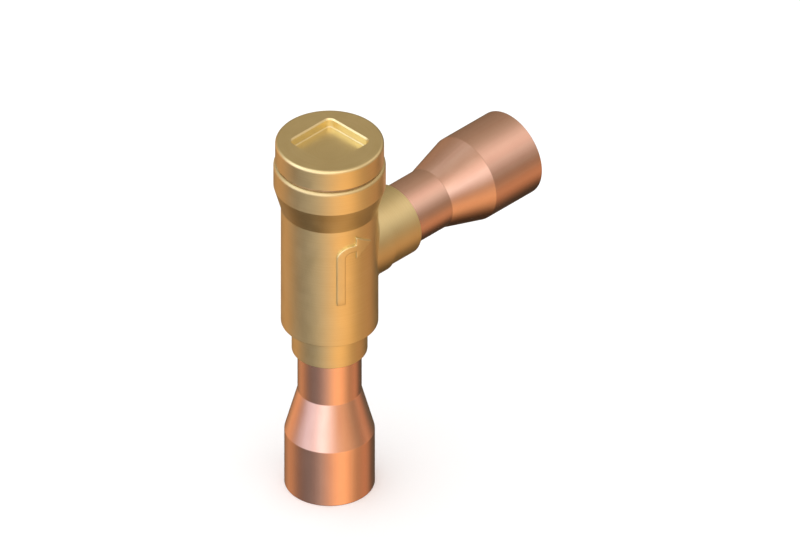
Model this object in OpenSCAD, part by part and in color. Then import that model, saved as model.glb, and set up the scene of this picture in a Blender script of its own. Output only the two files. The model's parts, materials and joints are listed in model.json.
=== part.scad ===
// Angle non-return valve for refrigerant pipes: a brass body with a lifting piston, and a copper
// solder socket at its foot and at its side. All lengths are in millimetres.
// The origin is the centre of the inlet socket's mouth. +Z runs up the valve's axis, +X along the outlet.

/* [Copper connections] */
// Outside diameter of the copper tube that is soldered into the body
tube_d = 22; // [20:0.5:24]
// Wall of the copper tube
tube_wall = 1.5; // [1:0.1:1.8]
// Outside diameter of the pipe that each socket takes
pipe_d = 28; // [26:0.5:32]
// Play on diameter between that pipe and its socket
pipe_play = 0.1; // [0.06:0.02:0.3]
// Wall of the copper where it is expanded into a socket
socket_wall = 1.45; // [1:0.05:2]
// Depth of each socket
socket_depth = 22.1; // [16:0.1:30]
// Length of the cone between socket and plain tube
cone_len = 16.8; // [12:0.1:24]
// Plain tube that shows between the cone and the body
neck_len = 16.8; // [8:0.1:30]
// Radius of the bend at each end of the cone
swage_r = 1.5; // [0.5:0.1:4]
// Radius on the outer edge of the socket's mouth
mouth_edge = 0.3; // [0.1:0.05:0.6]
// Depth to which the tube enters the body
insert_len = 11; // [8:0.5:12.5]
// Gap all round the tube, which the solder fills
solder_gap = 0.05; // [0.03:0.01:0.1]
// Countersink at the mouth of each tube hole
tube_lead = 0.7; // [0.4:0.1:1]
// Height of the solder bead outside that countersink
bead_h = 0.4; // [0.2:0.1:0.8]

/* [Body] */
// Brass wall round each tube
boss_wall = 1.95; // [1.4:0.05:3]
// Length of the inlet boss under the barrel
inlet_boss_len = 11.7; // [9:0.1:18]
// Length of the outlet boss, from the barrel's side to its end
outlet_boss_len = 14.9; // [12:0.1:24]
// Step from the turned outlet boss up to its forged root
root_step = 0.7; // [0.3:0.1:1.2]
// Length of the forged root, from the barrel's side to the step
root_len = 1.5; // [0.5:0.1:3]
// Radius of the fillet between the forged root and the barrel
root_fillet = 2.2; // [1:0.1:3]
// Wall of the barrel round the chamber
barrel_wall = 3.2; // [2.6:0.1:4.5]
// Length of the plain barrel
barrel_len = 47.6; // [44:0.1:60]
// Height of the outlet's axis above the foot of the barrel
outlet_rise = 26.2; // [25:0.1:28]
// Length of the taper under the head
taper_len = 9.2; // [6:0.1:12]
// Length of the head
head_len = 9; // [7:0.1:12]
// Wall of the head round the cap's thread
head_wall = 3.25; // [2.8:0.05:4.5]
// Radius on the head's top edge
head_edge = 1.2; // [0.4:0.1:1.4]
// Radius on the body's other outer edges
edge_r = 0.25; // [0.1:0.05:0.5]

/* [Chamber and seat] */
// Thickness of the body under the chamber
floor_t = 7.1; // [5:0.1:8]
// Height of the seat above the chamber's floor
seat_rise = 6; // [3:0.1:8]
// Width of the flat lip that the disc closes on
lip_w = 1.2; // [0.8:0.1:1.8]
// Extra radius at the foot of the seat
seat_flare = 0.8; // [0:0.1:1.5]
// Radius in the corners of the chamber's floor
floor_r = 1; // [0.5:0.1:1.4]
// Gap round the piston's flange, through which gas passes
flow_gap = 1.5; // [1:0.1:3]
// Width of the shoulder that carries the guide sleeve
shoulder_w = 2.5; // [1.8:0.1:4]
// Width of the run-out groove at the foot of the body's thread
groove_w = 1.5; // [1:0.1:2]
// Depth of both run-out grooves below the thread
groove_t = 0.4; // [0.2:0.1:0.8]

/* [Cap] */
// Thickness of the cap's round head
cap_t = 8; // [6.5:0.1:12]
// Width by which the cap's head stands out past its thread
cap_rim = 2.65; // [2.2:0.05:3.2]
// Radius on the cap's top edge
cap_edge = 1.1; // [0.4:0.1:1.6]
// Radius on the cap's lower edge
cap_under = 0.25; // [0.2:0.05:1]
// Side of the square hole for the key
key_side = 19.5; // [16:0.1:21]
// Depth of the square hole
key_depth = 3.4; // [2:0.1:4.5]
// Radius in the square hole's corners
key_corner = 2.1; // [1:0.05:3]
// Chamfer round the square hole
key_chamfer = 0.5; // [0.1:0.05:0.6]
// Radius round the square hole's floor
key_floor_r = 0.6; // [0.2:0.1:0.9]
// Length of the threaded spigot under the cap's head
spigot_len = 10; // [8:0.1:12]
// Radial clearance between the cap's thread and the body's
thread_fit = 0.05; // [0.03:0.01:0.1]
// Chamfer at the end of the spigot, and countersink at the mouth of its thread
thread_chamfer = 0.8; // [0.4:0.1:1.2]
// Depth of the spring's pocket in the spigot
pocket_depth = 8; // [5:0.1:9]
// Thickness of the sealing ring under the cap
gasket_t = 0.8; // [0.4:0.1:1.5]
// Clearance between the sealing ring and the cap's thread
gasket_fit = 0.15; // [0.1:0.05:0.3]

/* [Guide sleeve] */
// Thickness of the sleeve's collar
collar_t = 2.4; // [1.5:0.1:4]
// Clearance between the collar and the cap's spigot
collar_play = 0.1; // [0.05:0.05:0.3]
// Radial clearance of the collar inside the body's thread
collar_fit = 0.3; // [0.2:0.1:0.5]
// Radial clearance of the sleeve in the chamber
sleeve_fit = 0.05; // [0.02:0.01:0.1]
// Length of the land that fits the chamber
land_len = 5; // [3:0.1:8]
// Wall of the sleeve below that land
sleeve_wall = 2.2; // [1.4:0.1:2.8]
// Height of the sleeve's foot above the outlet's bore
sleeve_gap = 1.4; // [0.6:0.1:3]

/* [Piston] */
// Outside diameter of the piston's skirt
skirt_d = 20; // [18:0.1:21]
// Radial clearance of the skirt in the guide sleeve
skirt_fit = 0.06; // [0.04:0.01:0.1]
// Wall of the skirt
skirt_wall = 2; // [1.6:0.1:2.5]
// Lift of the piston from the seat to its stop
lift = 10; // [6:0.1:12]
// Clearance left above the fully lifted piston
lift_play = 0.1; // [0.05:0.05:0.3]
// Thickness of the web between the disc and the spring
web_t = 4; // [3:0.1:5]
// Thickness of the piston's flange above the disc
flange_t = 1.9; // [1.2:0.1:2.8]
// Height of the cone from the flange to the skirt
flare_h = 2; // [1:0.1:3]
// Wall of the rim round the disc
rim_w = 0.45; // [0.4:0.05:0.8]
// Height of the hub that takes the screw and centres the spring
hub_h = 4.5; // [4:0.1:8]
// Diameter of each bleed hole in the skirt
bleed_d = 2; // [1:0.1:3]
// Height of the damping ring
ring_h = 2.4; // [1.6:0.1:4]
// Radial thickness of the damping ring
ring_t = 1; // [0.7:0.05:1.2]
// Radial clearance of the damping ring in the guide sleeve
ring_fit = 0.02; // [0.01:0.005:0.04]
// Clearance of the damping ring in its groove
ring_play = 0.06; // [0.05:0.01:0.15]
// Width of the slanted cut through the damping ring
ring_cut = 0.4; // [0.2:0.1:0.8]
// Distance from the piston's top down to the ring's groove
ring_drop = 2; // [1.5:0.1:3]

/* [Disc and screw] */
// Thickness of the sealing disc
disc_t = 2.6; // [1.8:0.1:3.5]
// Width by which the disc covers the seat's lip
disc_cover = 0.8; // [0.5:0.1:1.5]
// Clearance between the disc and the rim that holds it
disc_fit = 0.05; // [0.03:0.01:0.1]
// Height of the disc that stands out below the rim
disc_proud = 0.8; // [0.4:0.1:1.2]
// Diameter of the screw's shank
screw_d = 5; // [4:0.5:6]
// Diameter of the hole through disc and washers
screw_hole_d = 5.3; // [5.2:0.1:6.4]
// Radial clearance of the shank in the piston's hub
screw_fit = 0.05; // [0.03:0.01:0.1]
// Depth to which the screw enters the piston
screw_grip = 6.5; // [5:0.1:7.2]
// Diameter of the screw's head
head_screw_d = 8.5; // [8:0.1:10]
// Height of the screw's head
head_screw_h = 3.3; // [2.6:0.1:4]
// Width across the flats of the screw's hexagon socket
hex_w = 3; // [2.5:0.5:4]
// Depth of that hexagon socket
hex_depth = 2; // [1:0.1:2.2]
// Diameter of the washer under the disc
washer_d = 15; // [12:0.1:16]
// Thickness of that washer
washer_t = 1.5; // [1:0.1:2]
// Diameter of the split lock washer
lock_d = 8.2; // [7.6:0.1:9.6]
// Thickness of the lock washer
lock_t = 1.2; // [0.8:0.1:1.6]
// Width of the slanted split in the lock washer
lock_cut = 0.7; // [0.4:0.1:1]

/* [Spring] */
// Outside diameter of the spring
spring_d = 13.6; // [12.5:0.1:14.2]
// Diameter of its wire
wire_d = 0.8; // [0.6:0.05:1.1]
// Number of coils that work
live_coils = 7; // [5:1:9]
// Radial play of the spring on its hub and in its pocket
spring_play = 0.6; // [0.4:0.1:0.8]
// Gap left at each end of the spring
spring_gap = 0.05; // [0.02:0.01:0.1]

/* [Hidden] */
$fn = 96;
// Distance by which a cut runs past the face that it opens
past = 1;
// Steps in a rounded corner
corner_steps = 6;
// Steps round the forged fillet, and depth by which its edges sink into the metal beside it
fillet_steps = 96;
fillet_sink = 0.08;
fillet_core = 1.2;
// Steps and sides of the spring's wire
coil_steps = 24;
wire_sides = 8;
// Pitch of the closed end coils, as a multiple of the wire
dead_pitch = 1.03;

// Radii, from the port outwards
tube_r = tube_d / 2;
port_r = tube_r - tube_wall;
tube_hole_r = tube_r + solder_gap;
boss_r = tube_hole_r + boss_wall;
root_r = boss_r + root_step;
socket_r = (pipe_d + pipe_play) / 2;
lip_r = port_r + lip_w;
disc_r = lip_r + disc_cover;
rim_in_r = disc_r + disc_fit;
flange_r = rim_in_r + rim_w;
chamber_r = flange_r + flow_gap;
barrel_r = chamber_r + barrel_wall;
thread_r = chamber_r + shoulder_w;
head_r = thread_r + head_wall;
spigot_r = thread_r - thread_fit;
cap_r = thread_r + cap_rim;
skirt_r = skirt_d / 2;
skirt_in_r = skirt_r - skirt_wall;
guide_r = skirt_r + skirt_fit;
ring_r = guide_r - ring_fit;
ring_in_r = ring_r - ring_t;
spring_r = spring_d / 2;
hub_r = spring_r - wire_d - spring_play;
pocket_r = spring_r + spring_play;
screw_r = screw_d / 2;
screw_hole_r = screw_hole_d / 2;

// Heights, from the inlet socket's mouth upwards
tube_len = socket_depth + cone_len + neck_len + insert_len;
boss_z = socket_depth + cone_len + neck_len;
barrel_z = boss_z + inlet_boss_len;
floor_z = barrel_z + floor_t;
seat_z = floor_z + seat_rise;
outlet_z = barrel_z + outlet_rise;
taper_z = barrel_z + barrel_len;
head_z = taper_z + taper_len;
head_top = head_z + head_len;
cap_z = head_top + gasket_t;
cap_top = cap_z + cap_t;
spigot_z = cap_z - spigot_len;
collar_top = spigot_z - collar_play;
shoulder_z = collar_top - collar_t;
sleeve_z = outlet_z + port_r + sleeve_gap;
disc_top = seat_z + disc_t;
flange_top = disc_top + flange_t;
web_top = disc_top + web_t;
hub_top = web_top + hub_h;
skirt_top = spigot_z - lift_play - lift;
ring_top = skirt_top - ring_drop;
pocket_top = spigot_z + pocket_depth;
spring_z = web_top + spring_gap;
spring_len = pocket_top - spring_z - spring_gap;
washer_z = seat_z - washer_t;
lock_z = washer_z - lock_t;

// Places along the outlet
boss_x = barrel_r + outlet_boss_len;
root_x = barrel_r + root_len;
mouth_x = boss_x + tube_len - insert_len;

function unit(v) = v / norm(v);

// Points of one corner at b, rounded to radius r between its neighbours a and c
function corner(a, b, c, r) =
    r == 0 ? [b] :
    let (u = unit(a - b), v = unit(c - b),
         half = acos(u * v) / 2,
         centre = b + unit(u + v) * r / sin(half),
         from = unit(b + u * r / tan(half) - centre),
         to = unit(b + v * r / tan(half) - centre))
    [for (i = [0 : corner_steps]) centre + r * turned(from, to, i / corner_steps)];

// Unit vector a share t of the way round from one unit vector to another
function turned(from, to, t) =
    let (sweep = acos(from * to))
    (sin((1 - t) * sweep) * from + sin(t * sweep) * to) / sin(sweep);

// Outline through points [x, y, corner radius]
function outline(p) =
    let (n = len(p), xy = [for (q = p) [q[0], q[1]]])
    [for (i = [0 : n - 1]) each corner(xy[(i + n - 1) % n], xy[i], xy[(i + 1) % n], p[i][2])];

// Triangles of a skin over rings of n points each; a closed skin joins its last ring to its first
function skin(rings, n, closed) = concat(
    [for (i = [0 : rings - (closed ? 1 : 2)]) for (j = [0 : n - 1])
        let (here = i * n, next = (i + 1) % rings * n, k = (j + 1) % n)
        each [[here + j, here + k, next + k], [here + j, next + k, next + j]]],
    closed ? [] : [[for (j = [n - 1 : -1 : 0]) j], [for (j = [0 : n - 1]) (rings - 1) * n + j]]);

// Solid turned from an outline of [radius, height, corner radius]
module turned_solid(p) {
    rotate_extrude() polygon(outline(p));
}

// Turns what is modelled up from its mouth at the origin to lie along the outlet, with its mouth at x
module at_outlet(x) {
    translate([x, 0, outlet_z]) rotate([0, -90, 0]) children();
}

// Stepped hole for a copper tube: countersink, tube hole, then the port up to the depth reach
module tube_hole(reach) {
    turned_solid([
        [0, -past, 0], [tube_hole_r + tube_lead, -past, 0], [tube_hole_r + tube_lead, 0, 0],
        [tube_hole_r, tube_lead, 0], [tube_hole_r, insert_len, 0], [port_r, insert_len, 0],
        [port_r, reach, 0], [0, reach, 0]]);
}

// Centre of a ball of the fillet's radius that touches both barrel and root, at angle a round the outlet
function ball(a) =
    let (reach = root_r + root_fillet, y = reach * cos(a))
    [sqrt(pow(barrel_r + root_fillet, 2) - y * y), y, reach * sin(a)];

// One ring of the fillet: the ball's arc from barrel to root, and a point deep in the metal
function fillet_ring(a) =
    let (c = ball(a),
         to_barrel = -unit([c[0], c[1], 0]),
         to_root = [0, -cos(a), -sin(a)],
         arc = root_fillet + fillet_sink,
         deep = c + (to_barrel + to_root) * (root_fillet + fillet_core))
    concat([for (i = [0 : corner_steps]) c + arc * turned(to_barrel, to_root, i / corner_steps)], [deep]);

// Forged root of the outlet: a short round stub with a rolled fillet into the barrel, cut off square
// where the outlet boss is turned down
module outlet_root() {
    rings = [for (i = [0 : fillet_steps - 1]) each fillet_ring(i * 360 / fillet_steps)];
    difference() {
        translate([0, 0, outlet_z]) union() {
            rotate([0, 90, 0]) cylinder(r = root_r, h = root_x);
            polyhedron(rings, skin(fillet_steps, corner_steps + 2, true));
        }
        translate([root_x, 0, outlet_z]) rotate([0, 90, 0])
            cylinder(r = root_r + root_fillet, h = root_fillet + past);
    }
}

module valve_body() {
    color("goldenrod") difference() {
        union() {
            turned_solid([
                [0, boss_z, 0], [boss_r, boss_z, edge_r], [boss_r, barrel_z, 0],
                [barrel_r, barrel_z, edge_r], [barrel_r, taper_z, 0], [head_r, head_z, 0],
                [head_r, head_top, head_edge], [0, head_top, 0]]);
            outlet_root();
            at_outlet(boss_x) turned_solid([
                [0, 0, 0], [boss_r, 0, edge_r], [boss_r, boss_x, 0], [0, boss_x, 0]]);
        }
        translate([0, 0, boss_z]) tube_hole(seat_z + past - boss_z);
        at_outlet(boss_x) tube_hole(boss_x);
        chamber();
    }
}

// Room inside the body: the trough round the seat, the chamber, the shoulder and the cap's thread
module chamber() {
    groove_top = shoulder_z + groove_w;
    turned_solid([
        [0, seat_z, 0], [lip_r, seat_z, 0], [lip_r + seat_flare, floor_z, floor_r],
        [chamber_r, floor_z, floor_r], [chamber_r, shoulder_z, 0],
        [thread_r + groove_t, shoulder_z, 0], [thread_r + groove_t, groove_top, 0],
        [thread_r, groove_top + groove_t, 0], [thread_r, head_top - thread_chamfer / 2, 0],
        [thread_r + thread_chamfer / 2, head_top, 0], [thread_r + thread_chamfer / 2, head_top + past, 0],
        [0, head_top + past, 0]]);
}

// Ring of points of the square hole, drawn in by inset, at height z
function key_ring(inset, z) =
    let (r = key_corner - inset, reach = key_side / 2 - key_corner)
    [for (q = [0 : 3]) for (i = [0 : corner_steps])
        let (a = q * 90 + i * 90 / corner_steps, side = q * 90 + 45)
        [sign(cos(side)) * reach + r * cos(a), sign(sin(side)) * reach + r * sin(a), z]];

// Square hole with round corners, a chamfered mouth and a rounded floor edge, skinned from the mouth down
module key_hole() {
    floor_at = cap_top - key_depth;
    rings = concat(
        [key_ring(-key_chamfer - past, cap_top + past), key_ring(0, cap_top - key_chamfer)],
        [for (i = [0 : corner_steps]) let (a = i * 90 / corner_steps)
            key_ring(key_floor_r * (1 - cos(a)), floor_at + key_floor_r * (1 - sin(a)))]);
    polyhedron([for (r = rings) each r], skin(len(rings), 4 * (corner_steps + 1), false));
}

module bonnet_cap() {
    groove_z = cap_z - groove_w;
    color("darkgoldenrod") difference() {
        turned_solid([
            [pocket_r + thread_chamfer, spigot_z, 0], [spigot_r - thread_chamfer, spigot_z, 0],
            [spigot_r, spigot_z + thread_chamfer, 0], [spigot_r, groove_z - groove_t, 0],
            [spigot_r - groove_t, groove_z, 0], [spigot_r - groove_t, cap_z, 0],
            [cap_r, cap_z, cap_under], [cap_r, cap_top, cap_edge],
            [0, cap_top, 0], [0, pocket_top, 0], [pocket_r, pocket_top, 0],
            [pocket_r, spigot_z + thread_chamfer, 0]]);
        key_hole();
    }
}

module cap_gasket() {
    gasket_in_r = thread_r + gasket_fit;
    gasket_r = min(head_r - head_edge, cap_r - cap_under) - edge_r / 5;
    color("sienna") translate([0, 0, head_top]) difference() {
        cylinder(r = gasket_r, h = gasket_t);
        translate([0, 0, -past]) cylinder(r = gasket_in_r, h = gasket_t + 2 * past);
    }
}

module guide_sleeve() {
    land_z = shoulder_z - land_len;
    color("peru") turned_solid([
        [guide_r, sleeve_z, 0], [guide_r + sleeve_wall, sleeve_z, edge_r],
        [guide_r + sleeve_wall, land_z, edge_r], [chamber_r - sleeve_fit, land_z, edge_r],
        [chamber_r - sleeve_fit, shoulder_z, 0], [thread_r - collar_fit, shoulder_z, edge_r],
        [thread_r - collar_fit, collar_top, edge_r], [guide_r, collar_top, 0]]);
}

module piston() {
    groove_in_r = ring_in_r - ring_play;
    groove_top = ring_top + ring_play;
    groove_z = ring_top - ring_h - ring_play;
    rim_z = seat_z + disc_proud;
    tap_r = screw_r + screw_fit;
    bleed_z = hub_top + bleed_d;
    color("gold") difference() {
        turned_solid([
            [tap_r, disc_top, 0], [rim_in_r, disc_top, 0], [rim_in_r, rim_z, 0], [flange_r, rim_z, 0],
            [flange_r, flange_top, edge_r], [skirt_r, flange_top + flare_h, 0], [skirt_r, groove_z, 0],
            [groove_in_r, groove_z, 0], [groove_in_r, groove_top, 0], [skirt_r, groove_top, 0],
            [skirt_r, skirt_top, edge_r], [skirt_in_r, skirt_top, edge_r], [skirt_in_r, web_top, edge_r],
            [hub_r, web_top, 0], [hub_r, hub_top, edge_r], [0, hub_top, 0],
            [0, disc_top + screw_grip + screw_fit, 0], [tap_r, disc_top + screw_grip + screw_fit, 0]]);
        translate([0, 0, bleed_z]) rotate([90, 0, 0])
            cylinder(d = bleed_d, h = skirt_d + 2 * past, center = true);
    }
}

// Split ring of radii r_in to r_out and height h, with a cut of width cut on a slant
module split_ring(r_in, r_out, h, cut) {
    slant = 40;
    difference() {
        cylinder(r = r_out, h = h);
        translate([0, 0, -past]) cylinder(r = r_in, h = h + 2 * past);
        translate([(r_in + r_out) / 2, 0, h / 2]) rotate([slant, 0, 0])
            cube([r_out - r_in + past, cut, 4 * h], center = true);
    }
}

module damping_ring() {
    color("dimgray") translate([0, 0, ring_top - ring_h])
        split_ring(ring_in_r, ring_r, ring_h, ring_cut);
}

module sealing_disc() {
    color("white") translate([0, 0, seat_z]) difference() {
        cylinder(r = disc_r, h = disc_t);
        translate([0, 0, -past]) cylinder(r = screw_hole_r, h = disc_t + 2 * past);
    }
}

module disc_washer() {
    washer_r = washer_d / 2;
    color("silver") turned_solid([
        [screw_hole_r, washer_z, 0], [washer_r, washer_z, edge_r],
        [washer_r, seat_z, 0], [screw_hole_r, seat_z, 0]]);
}

module lock_washer() {
    color("lightgray") translate([0, 0, lock_z])
        split_ring(screw_hole_r, lock_d / 2, lock_t, lock_cut);
}

module disc_screw() {
    head_screw_r = head_screw_d / 2;
    foot_z = lock_z - head_screw_h;
    tip_z = disc_top + screw_grip;
    color("gainsboro") difference() {
        turned_solid([
            [0, foot_z, 0], [head_screw_r, foot_z, 2 * edge_r], [head_screw_r, lock_z, 0],
            [screw_r, lock_z, 0], [screw_r, tip_z, edge_r], [0, tip_z, 0]]);
        translate([0, 0, foot_z - past])
            cylinder(d = hex_w / cos(30), h = hex_depth + past, $fn = 6);
    }
}

// Height of the wire's centre after a number of turns: a closed coil at each end, live coils between
function coil_z(turns) =
    let (dead = wire_d * dead_pitch,
         pitch = (spring_len - wire_d - 2 * dead) / live_coils,
         live = min(max(turns - 1, 0), live_coils))
    min(turns, 1) * dead + live * pitch + max(turns - 1 - live_coils, 0) * dead;

module return_spring() {
    turns = live_coils + 2;
    wire_r = wire_d / 2;
    mean_r = spring_r - wire_r;
    wire_len = turns * coil_steps;
    points = [for (i = [0 : wire_len]) for (j = [0 : wire_sides - 1])
        let (a = 360 * i / coil_steps, b = 360 * j / wire_sides, r = mean_r + wire_r * cos(b))
        [r * cos(a), r * sin(a), coil_z(i / coil_steps) + wire_r * sin(b)]];
    color("lightsteelblue") translate([0, 0, spring_z + wire_r])
        polyhedron(points, skin(wire_len + 1, wire_sides, false));
}

// Copper tube with its solder socket, modelled up from the socket's mouth
module copper_tube() {
    socket_out_r = socket_r + socket_wall;
    cone_top = socket_depth + cone_len;
    end_z = tube_len - solder_gap;
    turned_solid([
        [socket_r, 0, 0], [socket_out_r, 0, mouth_edge], [socket_out_r, socket_depth, swage_r],
        [tube_r, cone_top, swage_r], [tube_r, end_z, 0], [port_r, end_z, 0], [port_r, cone_top, swage_r],
        [socket_r, socket_depth, 0]]);
}

module inlet_tube() {
    color("chocolate") copper_tube();
}

module outlet_tube() {
    color("chocolate") at_outlet(mouth_x) copper_tube();
}

// Bead of solder that fills the countersink round a tube, modelled up from the boss's end
module solder_bead() {
    bead_r = tube_r + solder_gap / 2;
    out_r = tube_hole_r + tube_lead - solder_gap;
    turned_solid([
        [bead_r, -bead_h, 0], [out_r, 0, 0], [tube_hole_r, tube_lead - solder_gap, 0],
        [bead_r, tube_lead - solder_gap, 0]]);
}

module inlet_solder() {
    color("lightyellow") translate([0, 0, boss_z]) solder_bead();
}

module outlet_solder() {
    color("lightyellow") at_outlet(boss_x) solder_bead();
}

valve_body();
bonnet_cap();
cap_gasket();
guide_sleeve();
piston();
damping_ring();
sealing_disc();
disc_washer();
lock_washer();
disc_screw();
return_spring();
inlet_tube();
outlet_tube();
inlet_solder();
outlet_solder();
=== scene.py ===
"""Looks of the angle non-return valve: brass body and cap, copper solder sockets, and the works
inside. All lengths are in metres, in the frame of the CAD part: the inlet socket's mouth is the
origin, Z runs up the barrel to the cap, and X runs out along the outlet."""

import json
import math
from collections import namedtuple

import bpy
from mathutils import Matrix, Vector

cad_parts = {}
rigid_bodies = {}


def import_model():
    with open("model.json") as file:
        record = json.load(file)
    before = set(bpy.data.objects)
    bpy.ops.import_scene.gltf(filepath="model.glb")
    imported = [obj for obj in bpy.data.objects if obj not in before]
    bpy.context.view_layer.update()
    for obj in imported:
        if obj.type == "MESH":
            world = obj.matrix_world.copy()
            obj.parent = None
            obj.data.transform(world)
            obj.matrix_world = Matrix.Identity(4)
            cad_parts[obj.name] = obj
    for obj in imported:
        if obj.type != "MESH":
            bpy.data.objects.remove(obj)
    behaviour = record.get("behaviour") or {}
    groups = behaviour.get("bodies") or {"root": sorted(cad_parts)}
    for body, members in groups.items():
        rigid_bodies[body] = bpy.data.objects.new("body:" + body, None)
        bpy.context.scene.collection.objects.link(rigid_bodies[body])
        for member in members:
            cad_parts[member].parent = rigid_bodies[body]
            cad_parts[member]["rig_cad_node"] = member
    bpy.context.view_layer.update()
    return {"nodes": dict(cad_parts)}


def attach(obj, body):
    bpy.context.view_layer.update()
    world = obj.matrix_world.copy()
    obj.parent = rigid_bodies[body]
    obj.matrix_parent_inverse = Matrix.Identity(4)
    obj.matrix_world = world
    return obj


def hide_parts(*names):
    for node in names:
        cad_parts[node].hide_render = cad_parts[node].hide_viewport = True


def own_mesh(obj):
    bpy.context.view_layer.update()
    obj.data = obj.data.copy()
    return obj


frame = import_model()

MM = 0.001

# The picture: 800 x 540 pixels, a parallel view with one scale all over
PIXELS_PER_METRE = 2927
PICTURE_WIDTH = 800
PICTURE_HEIGHT = 540
# Where the part's origin lies in the picture, from its left and upper edges
ORIGIN_ACROSS = 329.6
ORIGIN_DOWN = 480.1
# How far the camera stands off, and how far it sees
CAMERA_DISTANCE = 0.8
CAMERA_REACH = 10
FLOOR_SIZE = 8

# Sizes of the valve body that its finish and the arrow follow
BARREL_RADIUS = 16.7 * MM
TAPER_FOOT = 115 * MM
ROOT_END = 18.2 * MM
OUTLET_HEIGHT = 93.6 * MM
HEAD_TOP = 133.2 * MM

# The axes that turned and drawn marks follow: a point on the axis, the turn that brings Z onto
# it, and a 1 for each of the other two axes
Axis = namedtuple("Axis", "centre turn across")
UPRIGHT = Axis(centre=(0, 0, 0), turn=(0, 0, 0), across=(1, 1, 0))
ALONG_OUTLET = Axis(centre=(0, 0, OUTLET_HEIGHT), turn=(0, math.pi / 2, 0), across=(0, 1, 1))

# Colours of the metals, as linear light: a little duller, plain, and rubbed bright. Plain brass
# and copper began as results of the fit that made SOFT_LIGHTS, and were then changed.
Metal = namedtuple("Metal", "shade plain bright")
BRASS = Metal(
    shade=(0.79, 0.675, 0.372), plain=(0.835, 0.72, 0.41), bright=(0.95, 0.87, 0.60)
)
COPPER = Metal(
    shade=(0.855, 0.55, 0.485), plain=(0.895, 0.585, 0.515), bright=(0.96, 0.75, 0.69)
)
STAINLESS = Metal(
    shade=(0.50, 0.49, 0.48), plain=(0.58, 0.57, 0.55), bright=(0.78, 0.77, 0.76)
)
# Painted shade for the head's top edge, where the cap overhangs it
SEAM_SHADE_BRASS = (0.62, 0.53, 0.31)
CLEANED_COPPER = (0.97, 0.80, 0.71)

# How much the marks of a finish and its rubbed edges change colour and roughness
BRIGHTER_ALONG_MARKS = 0.3
BRIGHTER_ON_EDGES = 0.45
SMOOTHER_ON_EDGES = 0.05
EDGE_WEAR = 0.35 * MM
# How far a lathe's rings wander round the piece, as a share of their radius
CHATTER = 0.012
# Lengths along a tube are taken at this share, which draws the pattern out into lines
DRAWN_OUT = 0.02


def deselect():
    bpy.ops.object.select_all(action="DESELECT")


def select_only(piece):
    deselect()
    piece.select_set(True)
    bpy.context.view_layer.objects.active = piece


def feed(tree, value, socket):
    """Links a socket to an input, or sets the input to a plain value."""
    if isinstance(value, bpy.types.NodeSocket):
        tree.links.new(value, socket)
    else:
        socket.default_value = value


def maths(tree, operation, *values, clamp=False):
    made = tree.nodes.new("ShaderNodeMath")
    made.operation = operation
    made.use_clamp = clamp
    for value, socket in zip(values, made.inputs):
        feed(tree, value, socket)
    return made.outputs[0]


def vector_maths(tree, operation, *values):
    made = tree.nodes.new("ShaderNodeVectorMath")
    made.operation = operation
    for value, socket in zip(values, made.inputs):
        feed(tree, value, socket)
    return made.outputs["Value" if operation == "DOT_PRODUCT" else "Vector"]


def scaled(tree, vector, factor):
    made = tree.nodes.new("ShaderNodeVectorMath")
    made.operation = "SCALE"
    feed(tree, vector, made.inputs[0])
    feed(tree, factor, made.inputs["Scale"])
    return made.outputs["Vector"]


def blend_values(tree, share, first, second):
    """Mix of two numbers; share 0 gives the first."""
    made = tree.nodes.new("ShaderNodeMix")
    feed(tree, share, made.inputs["Factor"])
    feed(tree, first, made.inputs["A"])
    feed(tree, second, made.inputs["B"])
    return made.outputs["Result"]


def blend_colours(tree, share, first, second):
    """Mix of two colours; share 0 gives the first."""
    made = tree.nodes.new("ShaderNodeMix")
    made.data_type = "RGBA"
    feed(tree, share, made.inputs["Factor"])
    feed(tree, rgba(first), made.inputs["A"])
    feed(tree, rgba(second), made.inputs["B"])
    return made.outputs["Result"]


def rgba(colour):
    if isinstance(colour, bpy.types.NodeSocket):
        return colour
    return (*colour, 1.0)


def noise(tree, vector, scale, detail=2.0, roughness=0.5):
    """Noise from 0 to 1 with about scale cells to the metre."""
    made = tree.nodes.new("ShaderNodeTexNoise")
    feed(tree, vector, made.inputs["Vector"])
    feed(tree, scale, made.inputs["Scale"])
    made.inputs["Detail"].default_value = detail
    made.inputs["Roughness"].default_value = roughness
    return made.outputs["Fac"]


def remap(tree, value, low, high, new_low, new_high):
    made = tree.nodes.new("ShaderNodeMapRange")
    for given, socket in zip((value, low, high, new_low, new_high), made.inputs):
        feed(tree, given, socket)
    return made.outputs["Result"]


def coordinates(tree, vector):
    parts = tree.nodes.new("ShaderNodeSeparateXYZ")
    feed(tree, vector, parts.inputs[0])
    return parts.outputs


def distance_from_z(tree, x, y):
    x_squared = maths(tree, "MULTIPLY", x, x)
    y_squared = maths(tree, "MULTIPLY", y, y)
    return maths(tree, "SQRT", maths(tree, "ADD", x_squared, y_squared))


def new_group(name, inputs, outputs):
    """Empty node group with those sockets, given as {name: (kind, default)} and {name: kind}."""
    group = bpy.data.node_groups.new(name, "ShaderNodeTree")
    for label, (kind, default) in inputs.items():
        socket = group.interface.new_socket(name=label, in_out="INPUT", socket_type=kind)
        if default is not None:
            socket.default_value = default
    for label, kind in outputs.items():
        group.interface.new_socket(name=label, in_out="OUTPUT", socket_type=kind)
    return group, group.nodes.new("NodeGroupInput"), group.nodes.new("NodeGroupOutput")


def use_group(tree, group, **inputs):
    made = tree.nodes.new("ShaderNodeGroup")
    made.node_tree = group
    for label, value in inputs.items():
        feed(tree, value, made.inputs[label.capitalize()])
    return made.outputs


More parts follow.
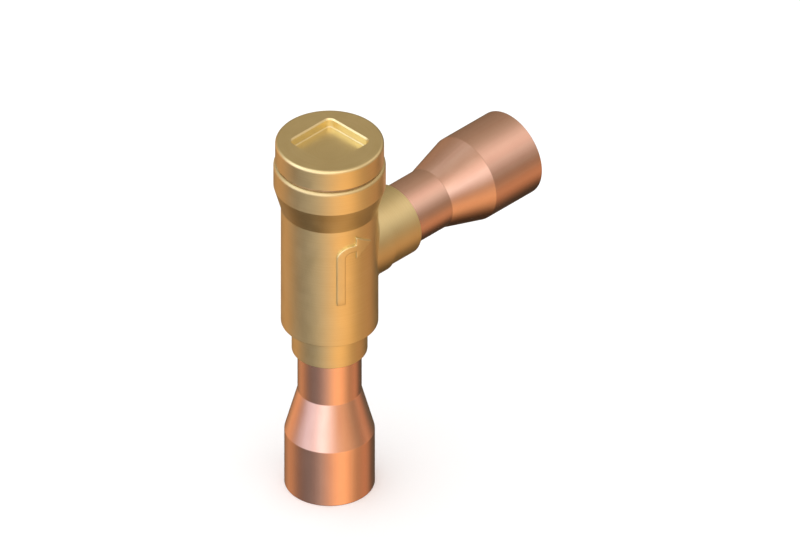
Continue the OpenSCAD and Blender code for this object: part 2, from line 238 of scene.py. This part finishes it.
def lathe_lines_group():
    """Fine rings that a lathe leaves round the Z axis, with slight chatter along them."""
    group, given, result = new_group(
        "lathe_lines",
        {"Vector": ("NodeSocketVector", None), "Feed": ("NodeSocketFloat", 0.3 * MM)},
        {"Height": "NodeSocketFloat", "Tone": "NodeSocketFloat"},
    )
    x, y, z = coordinates(group, given.outputs["Vector"])
    radius = distance_from_z(group, x, y)
    ring = group.nodes.new("ShaderNodeCombineXYZ")
    feed(group, maths(group, "ADD", radius, maths(group, "MULTIPLY", x, CHATTER)), ring.inputs[0])
    feed(group, maths(group, "ADD", z, maths(group, "MULTIPLY", y, CHATTER)), ring.inputs[1])
    lines = maths(group, "DIVIDE", 1.0, given.outputs["Feed"])
    broad_lines = maths(group, "MULTIPLY", lines, 0.12)
    fine = noise(group, ring.outputs[0], lines, detail=2.0, roughness=0.6)
    broad = noise(group, ring.outputs[0], broad_lines, detail=1.0)
    height = maths(group, "ADD", fine, maths(group, "MULTIPLY", broad, 0.6))
    feed(group, height, result.inputs["Height"])
    feed(group, remap(group, fine, 0.3, 0.7, 0.0, 1.0), result.inputs["Tone"])
    return group


def drawn_lines_group():
    """Fine lines along the Z axis, as drawing through a die leaves them."""
    group, given, result = new_group(
        "drawn_lines",
        {"Vector": ("NodeSocketVector", None), "Scale": ("NodeSocketFloat", 2500.0)},
        {"Height": "NodeSocketFloat", "Tone": "NodeSocketFloat"},
    )
    stretched = vector_maths(group, "MULTIPLY", given.outputs["Vector"], (1.0, 1.0, DRAWN_OUT))
    broad_lines = maths(group, "MULTIPLY", given.outputs["Scale"], 0.15)
    fine = noise(group, stretched, given.outputs["Scale"], detail=2.0, roughness=0.6)
    broad = noise(group, stretched, broad_lines, detail=2.0)
    feed(group, maths(group, "ADD", fine, broad), result.inputs["Height"])
    feed(group, remap(group, broad, 0.3, 0.7, 0.0, 1.0), result.inputs["Tone"])
    return group


def grain_group():
    """Fine even grain of forged, annealed or drawn metal."""
    group, given, result = new_group(
        "grain",
        {"Vector": ("NodeSocketVector", None), "Scale": ("NodeSocketFloat", 3000.0)},
        {"Height": "NodeSocketFloat"},
    )
    fine = noise(group, given.outputs["Vector"], given.outputs["Scale"], detail=3.0, roughness=0.6)
    feed(group, fine, result.inputs["Height"])
    return group


def clouds_group():
    """Soft large patches from 0 to 1, for slow changes of tone and gloss."""
    group, given, result = new_group(
        "clouds",
        {"Vector": ("NodeSocketVector", None), "Scale": ("NodeSocketFloat", 60.0)},
        {"Tone": "NodeSocketFloat", "Gloss": "NodeSocketFloat"},
    )
    place, scale = given.outputs["Vector"], given.outputs["Scale"]
    tone = noise(group, place, scale, detail=3.0, roughness=0.55)
    shifted = vector_maths(group, "ADD", place, (0.37, 0.11, 0.53))
    patches = noise(group, shifted, maths(group, "MULTIPLY", scale, 2.3), detail=4.0)
    feed(group, remap(group, tone, 0.3, 0.7, 0.0, 1.0), result.inputs["Tone"])
    feed(group, remap(group, patches, 0.35, 0.65, 0.0, 1.0), result.inputs["Gloss"])
    return group


def worn_edges_group():
    """Mask of the sharp edges, which handling polishes, broken up a little by noise."""
    group, given, result = new_group(
        "worn_edges",
        {"Vector": ("NodeSocketVector", None)},
        {"Mask": "NodeSocketFloat"},
    )
    rounded = group.nodes.new("ShaderNodeBevel")
    rounded.samples = 4
    rounded.inputs["Radius"].default_value = EDGE_WEAR
    plain = group.nodes.new("ShaderNodeNewGeometry")
    alike = vector_maths(group, "DOT_PRODUCT", rounded.outputs["Normal"], plain.outputs["Normal"])
    edge = remap(group, alike, 0.995, 0.9, 0.0, 1.0)
    breaks = noise(group, given.outputs["Vector"], 400.0, detail=3.0)
    patches = remap(group, breaks, 0.3, 0.6, 0.3, 1.0)
    feed(group, maths(group, "MULTIPLY", edge, patches, clamp=True), result.inputs["Mask"])
    return group


LATHE_LINES = lathe_lines_group()
DRAWN_LINES = drawn_lines_group()
GRAIN = grain_group()
CLOUDS = clouds_group()
WORN_EDGES = worn_edges_group()


def new_material(name, metallic=0.0):
    """Material, with its node tree, its Principled shader and its object coordinates."""
    material = bpy.data.materials.new(name)
    material.use_nodes = True
    tree = material.node_tree
    shader = tree.nodes["Principled BSDF"]
    shader.inputs["Metallic"].default_value = metallic
    place = tree.nodes.new("ShaderNodeTexCoord").outputs["Object"]
    return material, tree, shader, place


def turned_about(tree, place, axis):
    """Object coordinates moved and turned so that a feature's own axis becomes Z."""
    made = tree.nodes.new("ShaderNodeMapping")
    made.vector_type = "TEXTURE"
    feed(tree, place, made.inputs["Vector"])
    made.inputs["Location"].default_value = axis.centre
    made.inputs["Rotation"].default_value = axis.turn
    return made.outputs["Vector"]


def clouds_and_edges(tree, place, scale):
    clouds = use_group(tree, CLOUDS, vector=place, scale=scale)
    return clouds, use_group(tree, WORN_EDGES, vector=place)["Mask"]


def bump(tree, shader, height, depth):
    made = tree.nodes.new("ShaderNodeBump")
    made.inputs["Distance"].default_value = depth
    feed(tree, height, made.inputs["Height"])
    feed(tree, made.outputs["Normal"], shader.inputs["Normal"])


def tint(tree, shader, metal, tone, marks, edges):
    """Base colour: slow change from shade to plain, brighter along the marks and on the edges."""
    slow = blend_colours(tree, tone, metal.shade, metal.plain)
    on_marks = maths(tree, "MULTIPLY", marks, BRIGHTER_ALONG_MARKS)
    marked = blend_colours(tree, on_marks, slow, metal.bright)
    on_edges = maths(tree, "MULTIPLY", edges, BRIGHTER_ON_EDGES)
    worn = blend_colours(tree, on_edges, marked, metal.bright)
    feed(tree, worn, shader.inputs["Base Color"])


def gloss(tree, shader, patches, edges, rough, spread):
    """Roughness: rough plus or minus spread with the patches, and smoother on worn edges."""
    slow = maths(tree, "MULTIPLY_ADD", patches, 2 * spread, rough - spread)
    on_edges = maths(tree, "MULTIPLY", edges, SMOOTHER_ON_EDGES)
    feed(tree, maths(tree, "SUBTRACT", slow, on_edges), shader.inputs["Roughness"])


def patchy(tree, shader, clouds, colours, roughnesses):
    """Colour and roughness that change slowly, each between two values."""
    feed(tree, blend_colours(tree, clouds["Tone"], *colours), shader.inputs["Base Color"])
    slow = remap(tree, clouds["Gloss"], 0.0, 1.0, *roughnesses)
    feed(tree, slow, shader.inputs["Roughness"])


def film_and_painted_shade(tree, shader, where, colour, share, dulling):
    """Lays a duller film of another colour over what tint and gloss have set, as strong as where
    says. In the copper bores it is a real cleaned film; on the brass under the cap it is painted
    shade."""
    clean = shader.inputs["Base Color"].links[0].from_socket
    rough = shader.inputs["Roughness"].links[0].from_socket
    filmed = blend_colours(tree, maths(tree, "MULTIPLY", where, share), clean, colour)
    feed(tree, filmed, shader.inputs["Base Color"])
    feed(tree, maths(tree, "MULTIPLY_ADD", where, dulling, rough), shader.inputs["Roughness"])


def forged_brass():
    """The body: turned round its own axis, turned round the outlet's on the boss, forged at the
    root between them, and darkened by painted shade and made rougher at the head's top edge under
    the cap."""
    material, tree, shader, place = new_material("forged_brass", metallic=1.0)
    x, y, z = coordinates(tree, place)
    radius = distance_from_z(tree, x, y)
    on_boss = maths(tree, "GREATER_THAN", x, ROOT_END - 0.1 * MM)
    off_barrel = remap(
        tree, radius, BARREL_RADIUS + 0.03 * MM, BARREL_RADIUS + 0.3 * MM, 0.0, 1.0
    )
    below_taper = maths(tree, "LESS_THAN", z, TAPER_FOOT - 2 * MM)
    at_root = maths(tree, "MULTIPLY", off_barrel, below_taper)
    # Painted shade: darker towards the head's top, where the cap overhangs it
    shade_under_cap = remap(tree, z, HEAD_TOP - 1.4 * MM, HEAD_TOP - 0.2 * MM, 0.0, 1.0)

    upright = use_group(tree, LATHE_LINES, vector=place, feed=0.35 * MM)
    along_outlet = turned_about(tree, place, ALONG_OUTLET)
    sideways = use_group(tree, LATHE_LINES, vector=along_outlet, feed=0.35 * MM)
    forged = use_group(tree, GRAIN, vector=place, scale=2600.0)["Height"]
    coarse = maths(tree, "MULTIPLY", forged, 2.5)
    clouds, edges = clouds_and_edges(tree, place, scale=70.0)

    def by_place(turned_upright, at_the_root, turned_sideways):
        off_boss = blend_values(tree, at_root, turned_upright, at_the_root)
        return blend_values(tree, on_boss, off_boss, turned_sideways)

    marks = by_place(upright["Tone"], forged, sideways["Tone"])
    height = by_place(upright["Height"], coarse, sideways["Height"])
    tint(tree, shader, BRASS, clouds["Tone"], marks, edges)
    gloss(tree, shader, clouds["Gloss"], edges, rough=0.36, spread=0.03)
    # Painted shade under the cap, laid as a darker film that is also rougher
    film_and_painted_shade(tree, shader, shade_under_cap, SEAM_SHADE_BRASS, share=0.6, dulling=0.14)
    bump(tree, shader, height, depth=0.01 * MM)
    return material


def turned_metal(name, metal, feed_per_turn, cloud_scale, rough, spread, depth):
    """Metal turned all over round the valve's axis."""
    material, tree, shader, place = new_material(name, metallic=1.0)
    marks = use_group(tree, LATHE_LINES, vector=place, feed=feed_per_turn)
    clouds, edges = clouds_and_edges(tree, place, scale=cloud_scale)
    tint(tree, shader, metal, clouds["Tone"], marks["Tone"], edges)
    gloss(tree, shader, clouds["Gloss"], edges, rough=rough, spread=spread)
    bump(tree, shader, marks["Height"], depth=depth)
    return material


def turned_brass():
    """Cap, sleeve and piston."""
    return turned_metal(
        "turned_brass",
        BRASS,
        feed_per_turn=0.3 * MM,
        cloud_scale=90.0,
        rough=0.36,
        spread=0.03,
        depth=0.01 * MM,
    )


def stainless():
    """Screw and washers: finer marks than on the brass, and brighter."""
    return turned_metal(
        "stainless",
        STAINLESS,
        feed_per_turn=0.2 * MM,
        cloud_scale=200.0,
        rough=0.27,
        spread=0.04,
        depth=0.003 * MM,
    )


def raised_brass():
    """The raised arrow: forged skin with its high edges rubbed bright."""
    material, tree, shader, place = new_material("raised_brass", metallic=1.0)
    grain = use_group(tree, GRAIN, vector=place, scale=2600.0)["Height"]
    clouds, edges = clouds_and_edges(tree, place, scale=250.0)
    tint(tree, shader, BRASS, clouds["Tone"], grain, edges)
    gloss(tree, shader, clouds["Gloss"], edges, rough=0.43, spread=0.04)
    bump(tree, shader, grain, depth=0.025 * MM)
    return material


def drawn_copper(name, axis):
    """Tube of copper drawn along that axis. Its bore is brushed clean for the solder, so it is
    paler and duller."""
    material, tree, shader, place = new_material(name, metallic=1.0)
    marks = use_group(tree, DRAWN_LINES, vector=turned_about(tree, place, axis), scale=2200.0)
    from_centre = vector_maths(tree, "SUBTRACT", place, axis.centre)
    outward = vector_maths(tree, "MULTIPLY", from_centre, axis.across)
    normal = tree.nodes.new("ShaderNodeNewGeometry").outputs["Normal"]
    facing = vector_maths(tree, "DOT_PRODUCT", normal, outward)
    in_bore = maths(tree, "LESS_THAN", facing, -3 * MM)
    clouds, edges = clouds_and_edges(tree, place, scale=80.0)
    tint(tree, shader, COPPER, clouds["Tone"], marks["Tone"], edges)
    gloss(tree, shader, clouds["Gloss"], edges, rough=0.17, spread=0.02)
    film_and_painted_shade(tree, shader, in_bore, CLEANED_COPPER, share=0.85, dulling=0.16)
    bump(tree, shader, marks["Height"], depth=0.009 * MM)
    return material


def soft_copper():
    """Annealed sealing ring: dull, with brown patches of oxide, and dark brown all over as painted
    shade for the seam under the cap.
    """
    material, tree, shader, place = new_material("soft_copper", metallic=1.0)
    clouds = use_group(tree, CLOUDS, vector=place, scale=350.0)
    grain = use_group(tree, GRAIN, vector=place, scale=5000.0)["Height"]
    # The two dark browns are painted shade for the thin seam between the cap and the head
    patchy(tree, shader, clouds, ((0.38, 0.29, 0.22), (0.60, 0.46, 0.36)), (0.34, 0.46))
    bump(tree, shader, grain, depth=0.006 * MM)
    return material


def braze_metal():
    """Silver-bearing filler, drawn smooth into the joint with faint ripples."""
    material, tree, shader, place = new_material("braze_metal", metallic=1.0)
    clouds = use_group(tree, CLOUDS, vector=place, scale=300.0)
    ripples = noise(tree, place, 900.0, detail=1.0)
    patchy(tree, shader, clouds, ((0.62, 0.44, 0.24), (0.80, 0.62, 0.38)), (0.24, 0.36))
    bump(tree, shader, ripples, depth=0.03 * MM)
    return material


def spring_steel():
    """Drawn stainless spring wire, slightly darker than the screw."""
    material, tree, shader, place = new_material("spring_steel", metallic=1.0)
    clouds = use_group(tree, CLOUDS, vector=place, scale=300.0)
    grain = use_group(tree, GRAIN, vector=place, scale=6000.0)["Height"]
    patchy(tree, shader, clouds, ((0.40, 0.39, 0.38), (0.55, 0.54, 0.52)), (0.26, 0.38))
    bump(tree, shader, grain, depth=0.004 * MM)
    return material


def ptfe(name, colours, roughnesses):
    """Waxy fluoropolymer, skived smooth, with faint turned marks."""
    material, tree, shader, place = new_material(name)
    shader.inputs["Specular IOR Level"].default_value = 0.35
    shader.inputs["Subsurface Weight"].default_value = 0.08
    shader.inputs["Subsurface Radius"].default_value = (1 * MM, 0.9 * MM, 0.8 * MM)
    marks = use_group(tree, LATHE_LINES, vector=place, feed=0.25 * MM)
    clouds = use_group(tree, CLOUDS, vector=place, scale=220.0)
    patchy(tree, shader, clouds, colours, roughnesses)
    bump(tree, shader, marks["Height"], depth=0.006 * MM)
    return material


def white_ptfe():
    return ptfe("white_ptfe", ((0.74, 0.73, 0.70), (0.84, 0.84, 0.82)), (0.37, 0.49))


def filled_ptfe():
    """Filled with carbon, so nearly black."""
    return ptfe("filled_ptfe", ((0.028, 0.026, 0.025), (0.05, 0.047, 0.045)), (0.45, 0.57))


def dress(material, *nodes):
    """Gives CAD nodes their material."""
    for name in nodes:
        for slot in frame["nodes"][name].material_slots:
            slot.material = material


def finish_cad_nodes():
    dress(forged_brass(), "valve_body")
    dress(turned_brass(), "bonnet_cap", "guide_sleeve", "piston")
    dress(drawn_copper("inlet_copper", UPRIGHT), "inlet_tube")
    dress(drawn_copper("outlet_copper", ALONG_OUTLET), "outlet_tube")
    dress(soft_copper(), "cap_gasket")
    dress(braze_metal(), "inlet_solder", "outlet_solder")
    dress(stainless(), "disc_washer", "lock_washer", "disc_screw")
    dress(spring_steel(), "return_spring")
    dress(white_ptfe(), "sealing_disc")
    dress(filled_ptfe(), "damping_ring")


def coil_spring():
    """The return spring as a piece of its own, fixed to the housing. The piston presses the real
    spring up towards the cap as it lifts; this copy keeps its shape."""
    select_only(frame["nodes"]["return_spring"])
    bpy.ops.object.duplicate()
    spring = bpy.context.object
    spring.name = spring.data.name = "coil_spring"
    del spring["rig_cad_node"]
    bpy.ops.object.mode_set(mode="EDIT")
    bpy.ops.mesh.select_all(action="SELECT")
    bpy.ops.mesh.remove_doubles(threshold=0.001 * MM)
    bpy.ops.object.mode_set(mode="OBJECT")
    bpy.ops.object.shade_smooth_by_angle(angle=math.radians(60))
    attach(spring, "housing")
    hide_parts("return_spring")
    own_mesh(spring)


# The raised arrow that shows the way of the flow: up the barrel, then out towards the outlet. Its
# leg stands at ARROW_LEG along X, and its run is the straight part between the bend and the head.
ARROW_WIDTH = 2.6 * MM
ARROW_LEG = -8.6 * MM
ARROW_FOOT = 85 * MM
ARROW_BEND_FOOT = 104.2 * MM
ARROW_BEND = 3.2 * MM
ARROW_RUN = 1.6 * MM
ARROW_HEAD = 6.8 * MM
ARROW_HEAD_WIDTH = 8.8 * MM
ARROW_HEIGHT = 0.9 * MM
ARROW_ROOT = 0.3 * MM
ARROW_EDGE = 0.36 * MM
SAME_POINT = 0.02 * MM


def select_points(mesh, test):
    """Selects the vertices that pass the test, in edit mode with vertex selection."""
    bpy.ops.mesh.select_all(action="DESELECT")
    bpy.ops.object.mode_set(mode="OBJECT")
    for vertex in mesh.vertices:
        vertex.select = test(vertex.co)
    bpy.ops.object.mode_set(mode="EDIT")


def extrude(step):
    bpy.ops.mesh.extrude_region_move(TRANSFORM_OT_translate={"value": step})


def flow_arrow():
    """A flat arrow drawn out of one square, wrapped onto the barrel, thickened and softened."""
    deselect()
    leg = ARROW_BEND_FOOT - ARROW_FOOT
    plane_y = -1.5 * BARREL_RADIUS
    bpy.ops.mesh.primitive_plane_add(
        size=1, location=(ARROW_LEG, plane_y, ARROW_FOOT + leg / 4), rotation=(math.pi / 2, 0, 0)
    )
    arrow = bpy.context.object
    arrow.name = arrow.data.name = "flow_arrow"
    arrow.scale = (ARROW_WIDTH, leg / 2, 1)
    bpy.ops.object.transform_apply(location=True, rotation=True, scale=True)

    bpy.ops.object.mode_set(mode="EDIT")
    bpy.ops.mesh.select_mode(type="VERT")
    select_points(arrow.data, lambda p: p.z > ARROW_FOOT + leg / 2 - SAME_POINT)
    extrude((0, 0, leg / 2))
    bend_centre = (ARROW_LEG + ARROW_BEND, plane_y, ARROW_BEND_FOOT)
    bpy.ops.mesh.spin(steps=6, angle=-math.pi / 2, axis=(0, 1, 0), center=bend_centre)
    extrude((ARROW_RUN, 0, 0))
    extrude((ARROW_HEAD, 0, 0))
    bpy.ops.mesh.merge(type="CENTER")
    add_barbs(arrow.data, bend_centre[0] + ARROW_RUN, plane_y, ARROW_BEND_FOOT + ARROW_BEND)
    bpy.ops.mesh.select_all(action="SELECT")
    bpy.ops.mesh.subdivide(number_cuts=3)
    bpy.ops.mesh.normals_make_consistent(inside=False)
    bpy.ops.object.mode_set(mode="OBJECT")

    wrap_on_barrel(arrow)
    arrow.data.materials.append(raised_brass())
    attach(arrow, "housing")


def add_barbs(mesh, neck_x, neck_y, neck_z):
    """Widens the arrow's head by a triangle on each side of its neck."""
    tip = Vector((neck_x + ARROW_HEAD, neck_y, neck_z))
    for side in (1, -1):
        inner = Vector((neck_x, neck_y, neck_z + side * ARROW_WIDTH / 2))
        outer = Vector((neck_x, neck_y, neck_z + side * ARROW_HEAD_WIDTH / 2))
        corners = (inner, outer, tip)
        select_points(mesh, lambda p: (p - inner).length < SAME_POINT)
        bpy.ops.mesh.extrude_vertices_move(TRANSFORM_OT_translate={"value": outer - inner})
        select_points(mesh, lambda p: min((p - q).length for q in corners) < SAME_POINT)
        bpy.ops.mesh.edge_face_add()


def wrap_on_barrel(piece):
    """Projects a flat piece onto a cylinder just under the barrel's skin, then thickens it and
    rounds its edges."""
    deselect()
    bpy.ops.mesh.primitive_cylinder_add(
        vertices=512, radius=BARREL_RADIUS - ARROW_ROOT, depth=0.2, location=(0, 0, OUTLET_HEIGHT)
    )
    form = bpy.context.object
    select_only(piece)
    wrap = piece.modifiers.new("wrap", "SHRINKWRAP")
    wrap.target = form
    wrap.wrap_method = "PROJECT"
    wrap.use_project_y = True
    wrap.use_positive_direction = True
    thick = piece.modifiers.new("thick", "SOLIDIFY")
    thick.thickness = ARROW_HEIGHT + ARROW_ROOT
    thick.offset = 1.0
    soften = piece.modifiers.new("soften", "BEVEL")
    soften.width = ARROW_EDGE
    soften.segments = 4
    soften.limit_method = "ANGLE"
    soften.angle_limit = math.radians(40)
    for name in ("wrap", "thick", "soften"):
        bpy.ops.object.modifier_apply(modifier=name)
    bpy.data.objects.remove(form)
    bpy.ops.object.mode_set(mode="EDIT")
    bpy.ops.mesh.select_all(action="SELECT")
    bpy.ops.mesh.normals_make_consistent(inside=False)
    bpy.ops.object.mode_set(mode="OBJECT")
    bpy.ops.object.shade_smooth_by_angle(angle=math.radians(35))


def pale_floor():
    """A dull pale floor. The metal mirrors the soft lights below the horizon instead of it, as on
    a high stand."""
    deselect()
    bpy.ops.mesh.primitive_plane_add(size=FLOOR_SIZE)
    floor = bpy.context.object
    floor.name = "floor"
    material, tree, shader, place = new_material("pale_floor")
    shader.inputs["Specular IOR Level"].default_value = 0.0
    shader.inputs["Roughness"].default_value = 0.9
    speckle = noise(tree, place, 900.0, detail=3.0)
    feed(tree, remap(tree, speckle, 0.3, 0.7, 0.955, 0.965), shader.inputs["Base Color"])
    floor.data.materials.append(material)
    floor.visible_glossy = False


# Soft lights that the metal mirrors, as (azimuth, elevation, sharpness, colour). The larger the
# sharpness, the smaller the light. In degrees, azimuth 0 is +X and 90 is +Y. These numbers and
# SKY's were not chosen by hand: a separate program fitted them to the photo.
SOFT_LIGHTS = {
    "front, high": (-124, 50, 15.4, (1.84, 1.51, 1.28)),
    "left, high": (143, 51, 10.1, (1.26, 1.38, 1.44)),
    "left, low": (161, 13, 9.0, (1.15, 1.11, 1.27)),
    "front, level": (-152, 5, 8.5, (1.26, 1.22, 1.22)),
    "front right, high": (-84, 31, 15.3, (0.62, 0.60, 0.57)),
    "right, high": (-22, 37, 10.9, (0.67, 0.58, 0.52)),
    "warm front, below": (-103, -33, 6.1, (1.13, 0.60, 0.24)),
    "warm back, below": (102, -17, 7.2, (0.68, 0.33, 0.13)),
    "warm right, below": (-32, -26, 17.1, (0.49, 0.20, 0.08)),
}
# Dim warm sky behind them, from this colour overhead to nothing straight down
SKY = (0.48, 0.38, 0.255)
# Even light that all dull surfaces get. It is over full white, so that the floor shows white.
WHITE_ROOM = (1.2, 1.2, 1.2)


def toward(azimuth, elevation):
    """Direction of a light, as a vector of length 1."""
    turn, rise = math.radians(azimuth), math.radians(elevation)
    return (math.cos(turn) * math.cos(rise), math.sin(turn) * math.cos(rise), math.sin(rise))


def studio():
    """Even white light for the floor, and soft lights all round for the metal."""
    world = bpy.data.worlds.new("studio")
    bpy.context.scene.world = world
    world.use_nodes = True
    world.cycles.sampling_method = "NONE"
    tree = world.node_tree
    direction = tree.nodes.new("ShaderNodeTexCoord").outputs["Generated"]
    up = vector_maths(tree, "DOT_PRODUCT", direction, (0, 0, 1))
    total = scaled(tree, SKY, maths(tree, "MULTIPLY_ADD", up, 0.5, 0.5))
    for azimuth, elevation, sharpness, colour in SOFT_LIGHTS.values():
        near = vector_maths(tree, "DOT_PRODUCT", direction, toward(azimuth, elevation))
        glow = maths(tree, "EXPONENT", maths(tree, "MULTIPLY_ADD", near, sharpness, -sharpness))
        total = vector_maths(tree, "ADD", total, scaled(tree, colour, glow))
    for_metal = tree.nodes.new("ShaderNodeLightPath").outputs["Is Glossy Ray"]
    seen = blend_colours(tree, for_metal, WHITE_ROOM, total)
    feed(tree, seen, tree.nodes["Background"].inputs["Color"])


def camera():
    """Parallel camera that looks down at 35.26 degrees from the side of -X and -Y, as the photo
    does."""
    back = Vector((-1, -1, 1)).normalized()
    right = Vector((1, -1, 0)).normalized()
    up = back.cross(right)
    data = bpy.data.cameras.new("camera")
    data.type = "ORTHO"
    data.ortho_scale = PICTURE_WIDTH / PIXELS_PER_METRE
    data.clip_end = CAMERA_REACH
    made = bpy.data.objects.new("camera", data)
    bpy.context.scene.collection.objects.link(made)
    across = (PICTURE_WIDTH / 2 - ORIGIN_ACROSS) / PIXELS_PER_METRE
    rise = (ORIGIN_DOWN - PICTURE_HEIGHT / 2) / PIXELS_PER_METRE
    made.location = right * across + up * rise + back * CAMERA_DISTANCE
    made.rotation_mode = "QUATERNION"
    made.rotation_quaternion = (-back).to_track_quat("-Z", "Y")
    bpy.context.scene.camera = made


finish_cad_nodes()
coil_spring()
flow_arrow()
pale_floor()
studio()
camera()
bpy.context.scene.view_settings.view_transform = "Standard"
